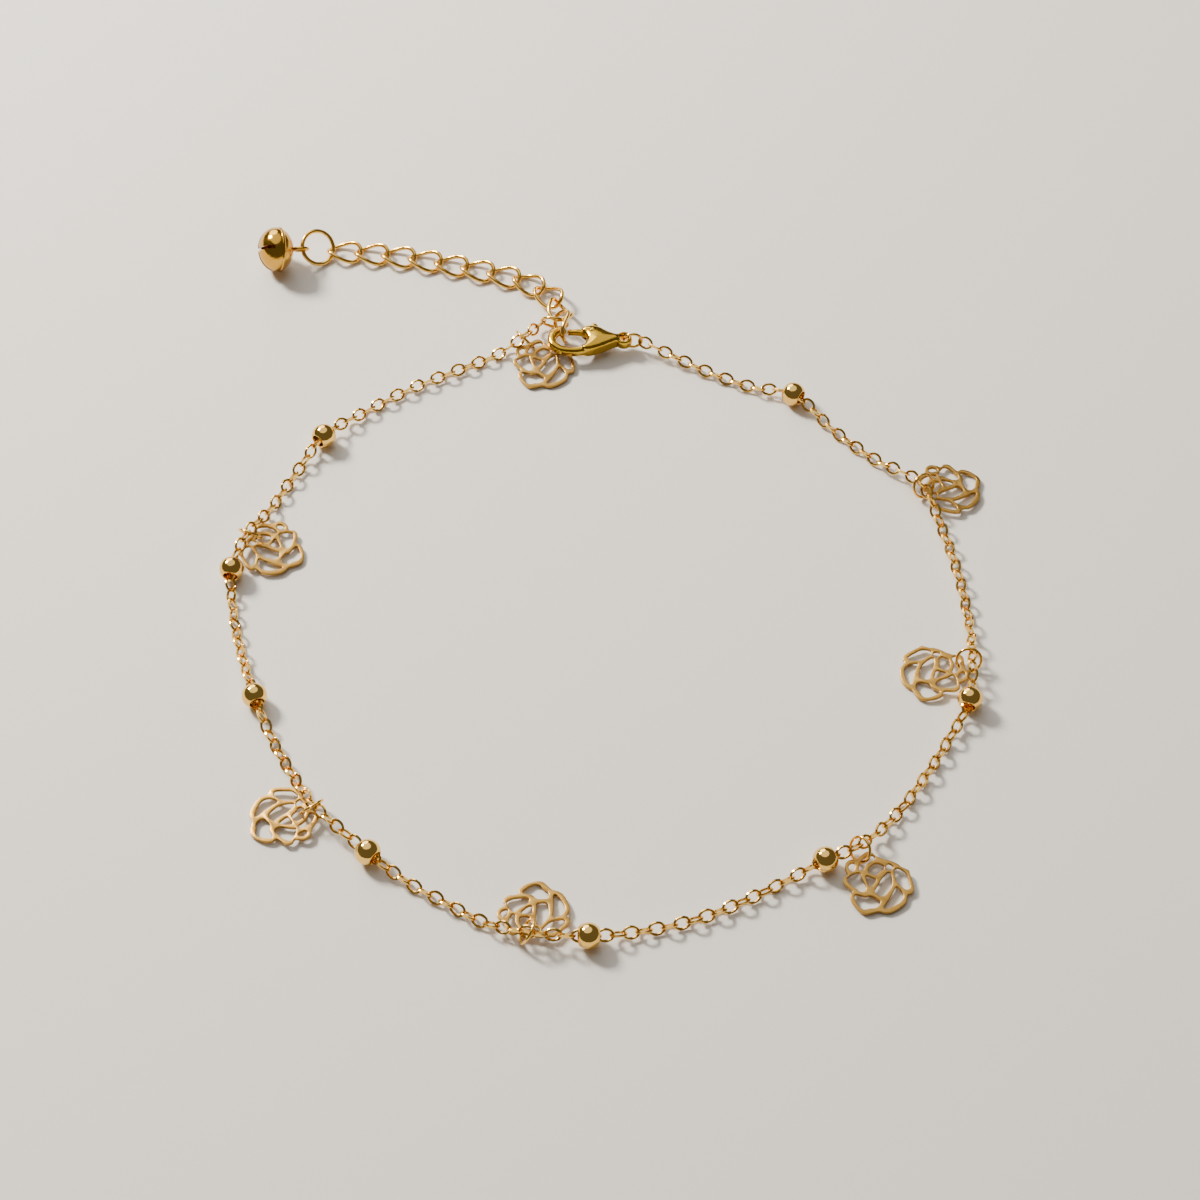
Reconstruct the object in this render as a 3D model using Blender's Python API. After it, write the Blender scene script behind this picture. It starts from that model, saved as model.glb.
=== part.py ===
"""Charm anklet: a fine cable chain with beads and pierced roses, a lobster clasp and an extender with a bell.

Metres, +Z up. The anklet lies open on a flat surface at z = 0, with its extender towards +Y.
"""

import math

import bmesh
import bpy
import numpy as np
from mathutils import Matrix, Vector

MM = 0.001

# Main chain: the envelope of its fine links.
CHAIN_D = 1.1 * MM
CHAIN_SIDES = 8
CHAIN_STEP = 3.05 * MM
CHAIN_LIFT = 0.12 * MM

# Beads.
BEAD_D = 2.66 * MM
BEAD_BORE_GAP = 0.09 * MM
BEAD_SIDES = 12
BEAD_ARC_STEPS = 5

# Rose charms.
CHARM_R = 3.6 * MM
CHARM_T = 0.36 * MM
CHARM_FAR = 3.72 * MM
CHARM_EYE = 3.27 * MM
CHARM_STRAP = 0.32 * MM

# Jump rings on the charms.
RING_D = 2.9 * MM
RING_WIRE = 0.3 * MM
RING_SIDES = 14
WIRE_SIDES = 5
RING_LEAN = math.radians(30)
RING_GAP = 0.05 * MM

# Lobster clasp.
CLASP_LIFT = 0.9 * MM
HOOK_T = 1.2 * MM
BODY_T = 2.0 * MM
CLASP_CHAMFER = 0.22 * MM
LEVER_T = 0.7 * MM
SLOT_GAP = 0.1 * MM
RIVET_R = 0.3 * MM
RIVET_GAP = 0.06 * MM
EYE_HOLE_R = 0.5 * MM
CLASP_RING_D = 2.36 * MM
CLASP_RING_WIRE = 0.34 * MM
CHAIN_RING_D = 3.4 * MM
CHAIN_RING_WIRE = 0.36 * MM

# Extender links: twisted ovals that lie flat.
LINK_WIRE = 0.48 * MM
LINK_L = 4.3 * MM
LINK_W = 3.2 * MM
LINK_TWIST = 0.48 * MM
LINK_PLAY = 0.17 * MM
LINK_PITCH = LINK_L - 2 * LINK_WIRE - LINK_PLAY
LINK_COUNT = 11
LINK_SIDES = 12
FLOOR_GAP = 0.03 * MM

# Bell and its ring.
BELL_RING_D = 4.4 * MM
BELL_RING_WIRE = 0.5 * MM
BELL_RING_PLAY = 0.29 * MM
BELL_D = 5.1 * MM
BELL_L = 4.1 * MM
BELL_WALL = 0.35 * MM
BELL_SEAM = 0.14 * MM
BELL_SEAM_AT = 0.55 * MM
BELL_SEAM_W = 0.4 * MM
BELL_SLIT = 0.42 * MM
BELL_SLIT_REACH = 0.62
BELL_LOOP_R = 1.05 * MM
BELL_LOOP_WIRE = 0.42 * MM
BELL_LOOP_GAP = 0.1 * MM
BELL_SIDES = 16

# Chain route, seen from above, in mm: what the chain does at each point, x and y.
ROUTE = (
    ("end", -6.95, 38.6),
    ("charm", -8.75, 36.8),
    ("low", -11.3, 35.2),
    ("low", -16.2, 32.5),
    ("low", -21.2, 29.8),
    ("low", -25.9, 26.5),
    ("bead", -30.5, 22.1),
    ("low", -33.3, 17.3),
    ("low", -35.9, 11.9),
    ("charm", -37.9, 8.0),
    ("bead", -39.3, 3.2),
    ("low", -38.9, -1.5),
    ("low", -37.9, -6.4),
    ("bead", -35.7, -13.7),
    ("low", -33.8, -18.3),
    ("low", -31.3, -23.1),
    ("charm", -28.7, -27.6),
    ("bead", -23.1, -33.1),
    ("low", -18.9, -36.3),
    ("low", -14.6, -39.0),
    ("low", -11.6, -40.8),
    ("charm", -7.0, -42.6),
    ("bead", -1.1, -42.9),
    ("low", 4.2, -41.9),
    ("low", 9.6, -40.5),
    ("low", 14.8, -38.1),
    ("low", 18.7, -35.9),
    ("bead", 22.4, -34.0),
    ("charm", 25.8, -32.4),
    ("low", 29.4, -28.6),
    ("low", 32.7, -23.9),
    ("low", 35.5, -19.2),
    ("bead", 38.2, -14.1),
    ("charm", 38.8, -8.9),
    ("low", 38.9, -3.2),
    ("low", 38.2, 3.4),
    ("low", 36.9, 9.6),
    ("charm", 35.0, 14.9),
    ("low", 30.3, 19.2),
    ("low", 26.1, 23.3),
    ("bead", 21.6, 28.3),
    ("low", 17.1, 30.0),
    ("low", 12.2, 32.3),
    ("end", 5.2, 36.15),
)
END_HEIGHT = 1.0 * MM

# Charms in route order: letter, the way from the rose's middle to its ring (degrees), and how far
# beside the chain its strap lies (mm).
CHARMS = (
    ("1", 111, 0.7),
    ("2", 147, 0.7),
    ("3", 28, 0.7),
    ("4", 257, 0.7),
    ("5", 112, 0.95),
    ("6", 20, 0.95),
    ("7", 197, 0.7),
)

# The first link's middle, x and y in mm. Then, for the links at the clasp, the step from the link
# before as shares of LINK_PITCH, and yaw, roll and pitch (degrees).
FIRST_LINK_AT = (-4.26, 38.5)
HOOKED_LINKS = (
    (0.0, 0.0, 94.8, -72.5, -7.7),
    (-0.1, 0.84516, 99.0, 22.4, 14.9),
    (-0.40323, 0.90323, 129.9, -5.3, 8.9),
)
# The other links lie along this route from the third link's middle, x and y in mm.
EXTENDER_ROUTE = ((-8.3, 46.2), (-11.9, 47.6), (-17.6, 49.2), (-23.6, 50.5), (-31.0, 51.4), (-38.4, 52.3))
# The way from the last link's middle to its ring (degrees).
BELL_RING_WAY = 183.42
BELL_RING_NORMAL = (0.46, -0.5, 0.73)
BELL_FAR = (-1.0, -0.22)
CHAIN_RING_AT = (-5.15, 39.11)
CHAIN_RING_NORMAL = (0.15, 0.98, 0.44)

# Clasp, seen from above, in mm from the middle of its hook's opening: x towards the eye, y to the lever.
CLASP_AT = (-2.9, 36.4)
EYE_AT = (5.6, 0.0)
EYE_R = 0.95
RIVET_AT = (2.1, 0.9)
HOOK_OUTLINE = (
    (-0.95, 1.2), (-0.95, 1.75), (-1.7, 1.85), (-2.4, 1.55), (-2.9, 0.95), (-3.12, 0.1),
    (-2.9, -0.9), (-2.2, -1.7), (-1.1, -2.15), (0.6, -2.2), (2.4, -1.6), (2.4, -0.3),
    (1.35, -0.55), (0.7, -1.15), (-0.3, -1.42), (-1.3, -1.22), (-1.95, -0.6), (-2.12, 0.1),
    (-1.85, 0.85), (-1.4, 1.15),
)
BODY_OUTLINE = (
    (0.75, 1.0), (1.3, 0.45), (1.5, -0.3), (1.2, -1.0), (0.7, -1.7), (1.4, -2.0), (2.6, -1.65),
    (3.8, -1.05), (4.7, -0.55), (5.3, -0.4), (5.3, 0.4), (4.7, 0.5), (3.7, 0.95), (2.9, 1.6),
    (1.9, 1.85), (0.95, 1.65),
)
LEVER_OUTLINE = (
    (-0.85, 0.95), (0.5, 1.0), (1.4, 0.55), (2.1, 0.2), (2.75, 0.55), (2.85, 1.2), (2.75, 1.9),
    (2.5, 2.35), (1.95, 2.45), (1.75, 2.0), (1.2, 1.55), (0.4, 1.5), (-0.8, 1.45),
)
SLOT_OUTLINE = ((-0.6, 0.2), (1.45, 0.2), (2.0, -0.15), (2.9, 0.1), (3.3, 0.7), (3.3, 3.0), (-0.6, 3.0))

# The rose, as shares of CHARM_R, with its ring's opening at +Y. Corners are rounded off.
ROSE_OUTLINE = (
    (0.25, 0.82), (0.36, 0.93), (0.55, 0.87), (0.72, 0.69), (0.82, 0.41), (0.95, 0.38), (1.03, 0.23),
    (0.95, 0.04), (0.86, -0.06), (0.93, -0.20), (0.85, -0.38), (0.60, -0.48), (0.60, -0.66),
    (0.43, -0.86), (0.10, -1.03), (-0.24, -0.96), (-0.42, -0.82), (-0.60, -0.78), (-0.84, -0.56),
    (-0.97, -0.26), (-0.91, -0.04), (-1.01, 0.04), (-1.04, 0.22), (-0.91, 0.43), (-0.70, 0.70),
    (-0.45, 0.73), (-0.27, 0.90), (0.04, 0.99),
)
ROSE_OPENINGS = (
    ((-0.08, 0.87), (0.13, 0.88), (0.17, 0.70), (0.04, 0.61), (-0.17, 0.60), (-0.29, 0.69)),
    ((0.42, 0.79), (0.60, 0.58), (0.64, 0.30), (0.56, 0.18), (0.48, 0.50), (0.27, 0.69)),
    ((0.76, 0.34), (0.93, 0.27), (0.88, 0.08), (0.72, 0.10), (0.69, 0.24)),
    ((-0.04, 0.52), (0.20, 0.52), (0.33, 0.37), (0.29, 0.23), (0.08, 0.21), (-0.07, 0.46)),
    ((0.30, 0.10), (0.15, -0.20), (0.04, 0.11)),
    ((0.52, 0.09), (0.72, 0.00), (0.83, -0.16), (0.76, -0.31), (0.50, -0.42), (0.23, -0.40), (0.17, -0.28)),
    ((-0.27, -0.51), (0.11, -0.48), (0.38, -0.53), (0.47, -0.67), (0.14, -0.92), (-0.10, -0.88), (-0.31, -0.63)),
    ((-0.26, 0.46), (-0.10, 0.14), (0.01, -0.25), (-0.10, -0.35), (-0.29, -0.36), (-0.38, -0.10), (-0.39, 0.17)),
    ((-0.66, 0.07), (-0.56, -0.26), (-0.45, -0.65), (-0.64, -0.60), (-0.86, -0.26), (-0.81, -0.04)),
    ((-0.43, 0.68), (-0.27, 0.57), (-0.50, 0.31), (-0.63, 0.17), (-0.87, 0.06), (-0.94, 0.22), (-0.78, 0.47),
     (-0.64, 0.62)),
)


def clear_scene():
    for obj in list(bpy.data.objects):
        bpy.data.objects.remove(obj, do_unlink=True)


def gold(name, colour, roughness):
    material = bpy.data.materials.new(name)
    material.use_nodes = True
    shader = material.node_tree.nodes["Principled BSDF"]
    shader.inputs["Base Color"].default_value = (*colour, 1.0)
    shader.inputs["Metallic"].default_value = 1.0
    shader.inputs["Roughness"].default_value = roughness
    return material


def add_mesh(name, points, faces, material, smooth=True):
    mesh = bpy.data.meshes.new(name)
    mesh.from_pydata([tuple(p) for p in points], [], faces)
    mesh.materials.append(material)
    if smooth:
        mesh.shade_smooth()
        mesh.set_sharp_from_angle(angle=math.radians(50))
    obj = bpy.data.objects.new(name, mesh)
    bpy.context.scene.collection.objects.link(obj)
    return obj


def recalculate(obj):
    """Turns a mesh's faces outwards."""
    bm = bmesh.new()
    bm.from_mesh(obj.data)
    bmesh.ops.recalc_face_normals(bm, faces=bm.faces)
    bm.to_mesh(obj.data)
    bm.free()


def closed_wire(name, path, normal, wire_d, sides, material):
    """A round wire along a closed path; normal is the plane that the path roughly lies in."""
    count = len(path)
    points, faces = [], []
    for i, here in enumerate(path):
        along = (path[(i + 1) % count] - path[i - 1]).normalized()
        up = (normal - along * normal.dot(along)).normalized()
        side = along.cross(up)
        for k in range(sides):
            turn = 2 * math.pi * k / sides
            points.append(here + (side * math.cos(turn) + up * math.sin(turn)) * wire_d / 2)
    for i in range(count):
        for k in range(sides):
            a, b = i * sides + k, i * sides + (k + 1) % sides
            c, d = (i + 1) % count * sides + (k + 1) % sides, (i + 1) % count * sides + k
            faces.append((a, b, c, d))
    obj = add_mesh(name, points, faces, material)
    recalculate(obj)
    return obj


def jump_ring(name, centre, normal, outer_d, wire_d, material):
    normal = normal.normalized()
    first = normal.orthogonal().normalized()
    second = normal.cross(first)
    radius = (outer_d - wire_d) / 2
    turns = [2 * math.pi * k / RING_SIDES for k in range(RING_SIDES)]
    path = [centre + (first * math.cos(t) + second * math.sin(t)) * radius for t in turns]
    return closed_wire(name, path, normal, wire_d, WIRE_SIDES, material)


def lathe(name, profile, sides, material):
    """A closed solid turned about X from (x, radius) pairs; a radius of 0 is a pole."""
    points, rings = [], []
    for x, radius in profile:
        if radius == 0:
            rings.append([len(points)] * sides)
            points.append(Vector((x, 0, 0)))
            continue
        rings.append([len(points) + k for k in range(sides)])
        for k in range(sides):
            turn = 2 * math.pi * k / sides
            points.append(Vector((x, radius * math.cos(turn), radius * math.sin(turn))))
    faces = []
    closed_profile = profile[0][1] > 0
    pairs = list(zip(rings, rings[1:])) + ([(rings[-1], rings[0])] if closed_profile else [])
    for one, two in pairs:
        for k in range(sides):
            loop = [one[k], one[(k + 1) % sides], two[(k + 1) % sides], two[k]]
            faces.append(tuple(dict.fromkeys(loop)))
    obj = add_mesh(name, points, faces, material)
    recalculate(obj)
    return obj


def prism(name, outline, half_height, chamfer, material):
    """An outline in mm, extruded both ways from z = 0, with chamfered edges."""
    ring = [Vector((x, y)) * MM for x, y in outline]
    count = len(ring)
    turned = sum(ring[i - 1].cross(ring[i]) for i in range(count))
    inset = []
    for i in range(count):
        edge = (ring[(i + 1) % count] - ring[i - 1]).normalized()
        inward = Vector((-edge.y, edge.x)) * (1 if turned > 0 else -1)
        inset.append(ring[i] + inward * chamfer)
    levels = [(inset, -half_height), (ring, chamfer - half_height), (ring, half_height - chamfer), (inset, half_height)]
    if not chamfer:
        levels = [(ring, -half_height), (ring, half_height)]
    points = [Vector((p.x, p.y, z)) for loop, z in levels for p in loop]
    faces = [tuple(range(count))[::-1], tuple(range(len(points) - count, len(points)))]
    for level in range(len(levels) - 1):
        for i in range(count):
            j = (i + 1) % count
            a, b = level * count + i, level * count + j
            faces.append((a, b, b + count, a + count))
    obj = add_mesh(name, points, faces, material)
    recalculate(obj)
    return obj


def helper(obj):
    obj.hide_render = True
    obj.display_type = "WIRE"
    return obj


def boolean(obj, other, operation):
    modifier = obj.modifiers.new(operation.lower() + "_" + other.name, "BOOLEAN")
    modifier.operation = operation
    modifier.solver = "EXACT"
    modifier.object = helper(other)


def pose(x_axis, y_axis, z_axis, place):
    matrix = Matrix((x_axis, y_axis, z_axis)).transposed().to_4x4()
    matrix.translation = place
    return matrix


# Chain.


def smooth_curve(knots, steps):
    """A Catmull-Rom curve through the knots, spaced by the root of their distance."""
    knots = [2 * knots[0] - knots[1]] + knots + [2 * knots[-1] - knots[-2]]
    curve = []
    for p0, p1, p2, p3 in zip(knots, knots[1:], knots[2:], knots[3:]):
        t0 = 0.0
        t1 = t0 + (p1 - p0).length ** 0.5
        t2 = t1 + (p2 - p1).length ** 0.5
        t3 = t2 + (p3 - p2).length ** 0.5
        for k in range(steps):
            t = t1 + (t2 - t1) * k / steps
            a1 = p0.lerp(p1, (t - t0) / (t1 - t0))
            a2 = p1.lerp(p2, (t - t1) / (t2 - t1))
            a3 = p2.lerp(p3, (t - t2) / (t3 - t2))
            b1 = a1.lerp(a2, (t - t0) / (t2 - t0))
            b2 = a2.lerp(a3, (t - t1) / (t3 - t1))
            curve.append(b1.lerp(b2, (t - t1) / (t2 - t1)))
    curve.append(knots[-2])
    return curve


def charm_hold(beside):
    """How a ring holds a charm whose strap lies this far beside the chain's middle.

    Gives the chain's distance above the strap in the ring's plane, the ring's share of it, the
    strap's height with the ring just clear of the surface, and the rose's slope.
    """
    inside = (RING_D - RING_WIRE) / 2 * math.cos(math.pi / RING_SIDES) - RING_WIRE / 2 - RING_GAP
    chain_room = inside - CHAIN_D / 2 / math.cos(RING_LEAN)
    strap_room = inside - math.hypot(CHARM_STRAP, CHARM_T) / 2
    grip = chain_room + strap_room
    share = strap_room / grip
    drop = math.sqrt(grip**2 - beside**2)
    strap_z = FLOOR_GAP + (RING_D / 2 - share * drop) * math.cos(RING_LEAN)
    slope = math.asin((strap_z - FLOOR_GAP - CHARM_T / 2) / (CHARM_FAR + CHARM_EYE))
    return drop, share, strap_z, slope


def route_knots():
    rows = iter(CHARMS)
    knots = []
    for kind, x, y in ROUTE:
        height = {"low": CHAIN_D / 2 + CHAIN_LIFT, "bead": BEAD_D / 2 + FLOOR_GAP, "end": END_HEIGHT}.get(kind)
        if kind == "charm":
            drop, _, strap_z, _ = charm_hold(next(rows)[2] * MM)
            height = strap_z + drop * math.cos(RING_LEAN)
        knots.append(Vector((x * MM, y * MM, height)))
    return knots


KNOT_STEPS = 24


def chain_points(curve, knots):
    """Points along the curve, and where the chain holds each bead and charm: (place, direction).

    Each bead is at the middle of a straight stretch, and each charm at a point.
    """
    lengths = [0.0]
    for one, two in zip(curve, curve[1:]):
        lengths.append(lengths[-1] + (two - one).length)
    flat = np.array([tuple(p) for p in curve])
    points, held = [curve[0]], {}
    reached = 0.0
    for i, (kind, _, _) in enumerate(ROUTE[1:], 1):
        if kind == "low":
            continue
        stop = lengths[i * KNOT_STEPS]
        last = stop - CHAIN_STEP / 2 if kind == "bead" else stop
        count = max(1, round((last - reached) / CHAIN_STEP))
        for k in range(1, count + 1):
            mark = reached + (last - reached) * k / count
            points.append(Vector([np.interp(mark, lengths, flat[:, axis]) for axis in range(3)]))
        reached = last
        if kind == "bead":
            reached = stop + CHAIN_STEP / 2
            after = Vector([np.interp(reached, lengths, flat[:, axis]) for axis in range(3)])
            shift = knots[i] - (points[-1] + after) / 2
            points[-1] += shift
            points.append(after + shift)
            held[i] = (knots[i], (points[-1] - points[-2]).normalized())
        elif kind == "charm":
            held[i] = (knots[i], len(points) - 1)
    for i, (place, at) in held.items():
        if isinstance(at, int):
            held[i] = (place, (points[at + 1] - points[at - 1]).normalized())
    return points, held


def make_chain(points, material):
    curve = bpy.data.curves.new("chain", "CURVE")
    curve.dimensions = "3D"
    curve.bevel_depth = CHAIN_D / 2
    curve.bevel_resolution = 2
    curve.use_fill_caps = True
    curve.materials.append(material)
    spline = curve.splines.new("POLY")
    spline.points.add(len(points) - 1)
    for point, place in zip(spline.points, points):
        point.co = (*place, 1.0)
    bpy.context.scene.collection.objects.link(bpy.data.objects.new("chain", curve))


# Beads.


def make_beads(held, material):
    radius, bore = BEAD_D / 2, CHAIN_D / 2 + BEAD_BORE_GAP
    start = math.acos(bore / radius)
    angles = [start - 2 * start * k / BEAD_ARC_STEPS for k in range(BEAD_ARC_STEPS + 1)]
    profile = [(radius * math.sin(a), radius * math.cos(a)) for a in angles]
    number = 0
    for i, (place, along) in held.items():
        if ROUTE[i][0] != "bead":
            continue
        number += 1
        bead = lathe(f"bead_{number}", profile, BEAD_SIDES, material)
        side = along.cross(Vector((0, 0, 1))).normalized()
        bead.matrix_world = pose(along, side, along.cross(side), place)


# Rose charms.


def rounded(corners):
    """The corners of an outline cut once, a quarter of the way along each side."""
    cut = []
    for (ax, ay), (bx, by) in zip(corners, corners[1:] + corners[:1]):
        cut += [(0.75 * ax + 0.25 * bx, 0.75 * ay + 0.25 * by), (0.25 * ax + 0.75 * bx, 0.25 * ay + 0.75 * by)]
    return cut


def rose_curve(material):
    """The flat pierced rose: a filled outline with its openings left out, given a thickness."""
    curve = bpy.data.curves.new("rose_charm", "CURVE")
    curve.dimensions = "2D"
    curve.fill_mode = "BOTH"
    curve.extrude = CHARM_T / 2
    curve.materials.append(material)
    for corners in (ROSE_OUTLINE, *ROSE_OPENINGS):
        loop = rounded(corners)
        spline = curve.splines.new("POLY")
        spline.points.add(len(loop) - 1)
        spline.use_cyclic_u = True
        for point, (x, y) in zip(spline.points, loop):
            point.co = (x * CHARM_R, y * CHARM_R, 0, 1)
    return curve


def make_charms(held, charm_gold, ring_gold):
    rose = rose_curve(charm_gold)
    holds = [held[i] for i in held if ROUTE[i][0] == "charm"]
    for (on_chain, along), (label, heading, beside) in zip(holds, CHARMS):
        heading = math.radians(heading)
        along = Vector((along.x, along.y, 0)).normalized()
        to_ring = Vector((math.cos(heading), math.sin(heading), 0))
        away = along.cross(Vector((0, 0, 1))).normalized()
        if away.dot(to_ring) > 0:
            away = -away
        drop, share, _, slope = charm_hold(beside * MM)
        leaned = Vector((0, 0, math.cos(RING_LEAN))) + along * math.sin(RING_LEAN)
        strap = on_chain + away * beside * MM - leaned * drop
        ring_middle = strap.lerp(on_chain, share)
        normal = away.cross(leaned)
        jump_ring(f"charm_ring_{label}", ring_middle, normal, RING_D, RING_WIRE, ring_gold)
        turn = Matrix.Rotation(heading - math.pi / 2, 3, "Z") @ Matrix.Rotation(slope, 3, "X")
        charm = bpy.data.objects.new(f"rose_charm_{label}", rose)
        middle = strap - turn @ Vector((0, CHARM_EYE, 0))
        charm.matrix_world = Matrix.Translation(middle) @ turn.to_4x4()
        bpy.context.scene.collection.objects.link(charm)


# Clasp.


def clasp_place():
    return Vector((CLASP_AT[0] * MM, CLASP_AT[1] * MM, CLASP_LIFT + HOOK_T / 2))


def circle_outline(centre, radius, sides):
    turns = [2 * math.pi * (k + 0.5) / sides for k in range(sides)]
    return tuple((centre[0] + radius * math.cos(t), centre[1] + radius * math.sin(t)) for t in turns)


def make_clasp(material):
    place = clasp_place()
    slot = LEVER_T / 2 + SLOT_GAP
    body = prism("clasp_body", HOOK_OUTLINE, HOOK_T / 2, CLASP_CHAMFER, material)
    shell = prism("clasp_shell", BODY_OUTLINE, BODY_T / 2, CLASP_CHAMFER, material)
    eye = prism("clasp_eye", circle_outline(EYE_AT, EYE_R, 14), HOOK_T / 2, CLASP_CHAMFER, material)
    cuts = (
        prism("lever_slot", SLOT_OUTLINE, slot, 0, material),
        prism("eye_hole", circle_outline(EYE_AT, EYE_HOLE_R / MM, 10), BODY_T, 0, material),
        prism("rivet_hole", circle_outline(RIVET_AT, (RIVET_R + RIVET_GAP) / MM, 10), BODY_T, 0, material),
    )
    boolean(body, shell, "UNION")
    boolean(body, eye, "UNION")
    for cut in cuts:
        boolean(body, cut, "DIFFERENCE")
    pivot = Vector((RIVET_AT[0] * MM, RIVET_AT[1] * MM, 0))
    lever_outline = tuple((x - RIVET_AT[0], y - RIVET_AT[1]) for x, y in LEVER_OUTLINE)
    lever = prism("clasp_lever", lever_outline, LEVER_T / 2, 0, material)
    lever_hole = prism("lever_hole", circle_outline((0, 0), (RIVET_R + RIVET_GAP) / MM, 10), BODY_T, 0, material)
    boolean(lever, lever_hole, "DIFFERENCE")
    rivet = prism("clasp_rivet", circle_outline((0, 0), RIVET_R / MM, 10), BODY_T / 2, 0, material)
    for obj in (body, shell, eye, *cuts):
        obj.location = place
    for obj in (lever, lever_hole, rivet):
        obj.location = place + pivot
    ring_offset = (CLASP_RING_D - CLASP_RING_WIRE) / 2
    ring_at = place + Vector((EYE_AT[0] * MM + ring_offset, EYE_AT[1] * MM, 0))
    jump_ring("clasp_ring", ring_at, Vector((0, 1, 0)), CLASP_RING_D, CLASP_RING_WIRE, material)


# Extender, bell and the rings on them.


def link_path():
    a, b = (LINK_L - LINK_WIRE) / 2, (LINK_W - LINK_WIRE) / 2
    turns = [2 * math.pi * k / LINK_SIDES for k in range(LINK_SIDES)]
    return [Vector((a * math.cos(t), b * math.sin(t), LINK_TWIST * math.sin(2 * t))) for t in turns]


def extender_poses():
    """(middle, yaw, roll, pitch) of each link: those at the clasp, then those along the route."""
    poses = []
    middle = Vector((FIRST_LINK_AT[0] * MM, FIRST_LINK_AT[1] * MM, 0))
    for x, y, yaw, roll, pitch in HOOKED_LINKS:
        middle = middle + Vector((x, y, 0)) * LINK_PITCH
        poses.append((middle, math.radians(yaw), math.radians(roll), math.radians(pitch)))
    route = [Vector((x * MM, y * MM, 0)) for x, y in EXTENDER_ROUTE]
    curve = smooth_curve([middle] + route, KNOT_STEPS)
    lengths = [0.0]
    for one, two in zip(curve, curve[1:]):
        lengths.append(lengths[-1] + (two - one).length)
    flat = np.array([tuple(p) for p in curve])

    def at(length):
        return Vector([np.interp(length, lengths, flat[:, axis]) for axis in range(3)])

    for k in range(1, LINK_COUNT - len(HOOKED_LINKS) + 1):
        along = at((k + 0.5) * LINK_PITCH) - at((k - 0.5) * LINK_PITCH)
        poses.append((at(k * LINK_PITCH), math.atan2(along.y, along.x), 0.0, 0.0))
    return poses


def make_extender(material):
    for i, (middle, yaw, roll, pitch) in enumerate(extender_poses(), 1):
        name = f"extender_link_{i:02d}"
        link = closed_wire(name, link_path(), Vector((0, 0, 1)), LINK_WIRE, WIRE_SIDES, material)
        turn = Matrix.Rotation(yaw, 3, "Z") @ Matrix.Rotation(pitch, 3, "Y") @ Matrix.Rotation(roll, 3, "X")
        lowest = min((turn @ vertex.co).z for vertex in link.data.vertices)
        link.matrix_world = Matrix.Translation(middle + Vector((0, 0, FLOOR_GAP - lowest))) @ turn.to_4x4()


def make_chain_ring(material):
    normal = Vector(CHAIN_RING_NORMAL).normalized()
    height = (CHAIN_RING_D - CHAIN_RING_WIRE) / 2 * math.sqrt(1 - normal.z**2) + CHAIN_RING_WIRE / 2
    centre = Vector((CHAIN_RING_AT[0] * MM, CHAIN_RING_AT[1] * MM, height + FLOOR_GAP))
    jump_ring("chain_ring", centre, normal, CHAIN_RING_D, CHAIN_RING_WIRE, material)


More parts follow.
